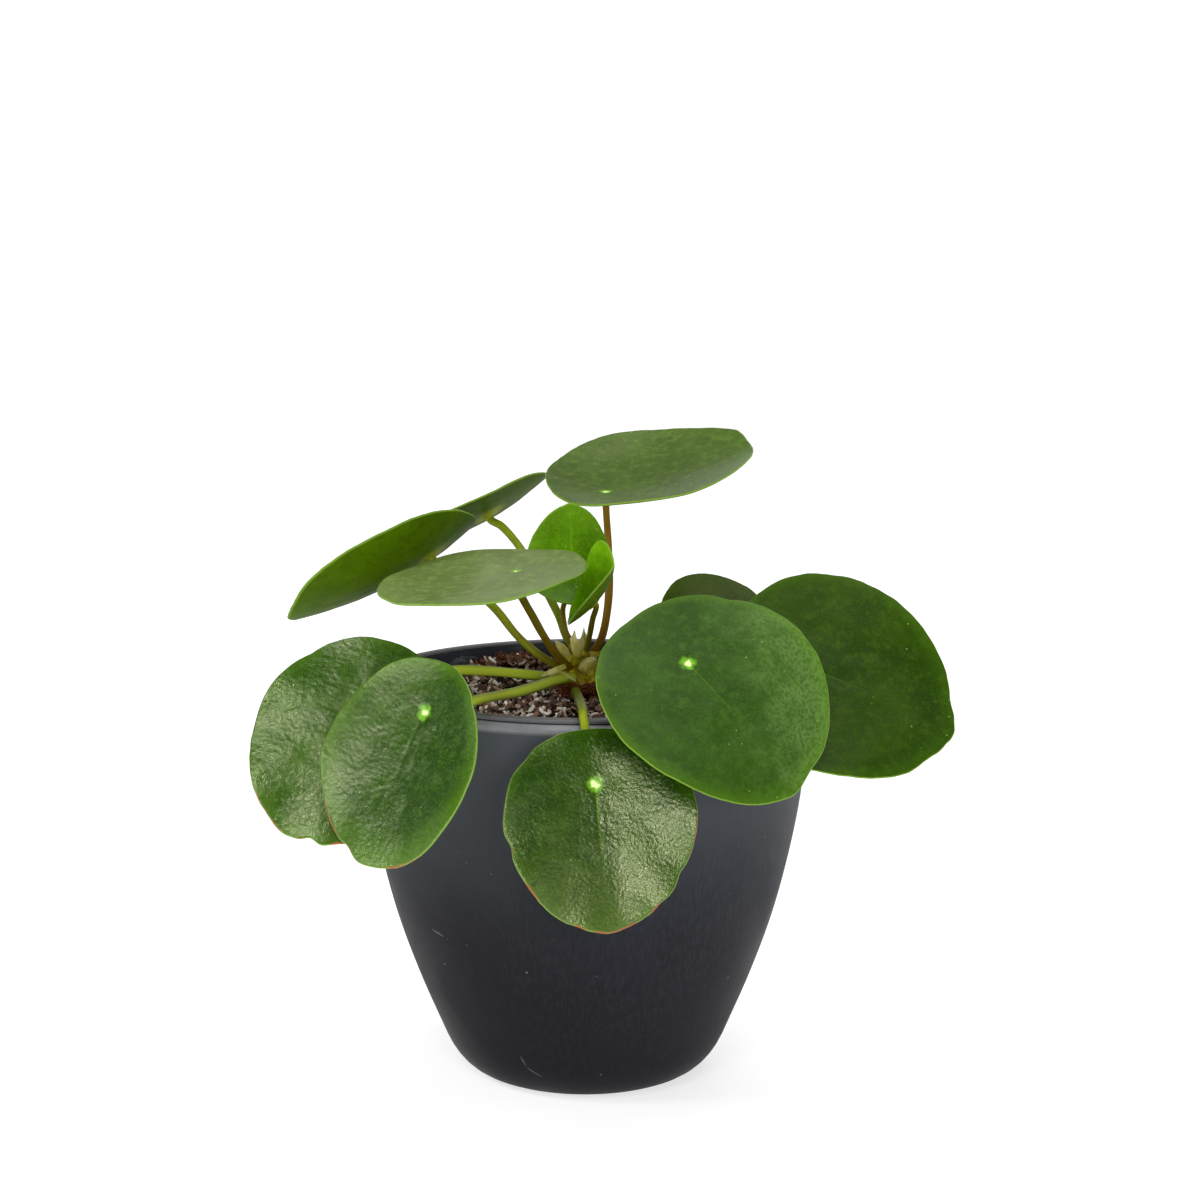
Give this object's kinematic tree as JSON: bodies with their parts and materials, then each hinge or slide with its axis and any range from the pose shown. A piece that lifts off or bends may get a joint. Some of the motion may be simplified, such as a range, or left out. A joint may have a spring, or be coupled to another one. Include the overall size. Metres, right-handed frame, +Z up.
{
  "type": "potted pilea plant",
  "caption": "Young houseplant with round flat leaves on long stalks, grown from a short stem in potting mix, in a smooth tapered pot with a narrow lip.",
  "frame": {"origin": "centre of the pot's flat foot", "axes": "+Z up; the picture was taken from the -Y side, with +X to its right"},
  "size_m": [0.2234, 0.1957, 0.2134],
  "materials": {
    "pot": "matte, dark slate grey with a faint upright grain",
    "potting_mix": "rough, dark brown with pale flecks",
    "trunk": "satin, olive, brown at the foot",
    "stalk": "smooth satin, light green to reddish olive",
    "blade": "satin gloss above, duller and lighter below",
    "young_blade": "satin gloss, fresh green",
    "scale": "dry and papery"
  },
  "bodies": {
    "root": {"pot": "pot", "potting_mix": "potting_mix", "trunk": "trunk", "stalk_top_right": "stalk", "stalk_back_left": "stalk", "stalk_upper_left": "stalk", "stalk_upper_front": "stalk", "stalk_young_upright": "stalk", "stalk_young_folded": "stalk", "stalk_right_front": "stalk", "stalk_right_back": "stalk", "stalk_small_right": "stalk", "stalk_left_back": "stalk", "stalk_left_front": "stalk", "stalk_front_hanging": "stalk", "blade_top_right": "blade", "blade_back_left": "blade", "blade_upper_left": "blade", "blade_upper_front": "blade", "blade_young_upright": "young_blade", "blade_young_folded": "young_blade", "blade_right_front": "blade", "blade_right_back": "blade", "blade_small_right": "blade", "blade_left_back": "blade", "blade_left_front": "blade", "blade_front_hanging": "blade", "scale_1": "scale", "scale_2": "scale", "scale_3": "scale", "scale_4": "scale"}
  },
  "joints": []
}
